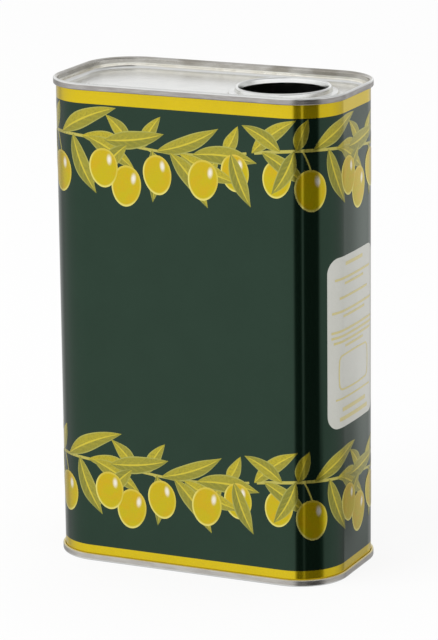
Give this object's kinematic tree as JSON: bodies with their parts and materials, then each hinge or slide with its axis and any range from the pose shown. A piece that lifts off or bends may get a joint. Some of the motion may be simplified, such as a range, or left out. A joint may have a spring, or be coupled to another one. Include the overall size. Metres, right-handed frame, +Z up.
{
  "type": "oil tin",
  "caption": "Rounded rectangular tin for cooking oil with double-seamed ends, a recessed stepped top and an open rolled neck that takes a pouring spout.",
  "frame": {"origin": "middle of the tin's base, on the plane that the bottom seam stands on", "axes": "+Z up along the tin's height, +X along its width towards the neck, -Y towards the printed front"},
  "size_m": [0.114, 0.059, 0.18],
  "materials": {
    "printed_tinplate": "dark green print under clear varnish, semi-gloss",
    "bare_tinplate": "bright tin coating, faintly mottled",
    "sealing_compound": "matte"
  },
  "bodies": {
    "root": {"body_wrapper": "printed_tinplate", "top_end": "bare_tinplate", "bottom_end": "bare_tinplate", "top_seam_compound": "sealing_compound", "bottom_seam_compound": "sealing_compound"}
  },
  "joints": []
}
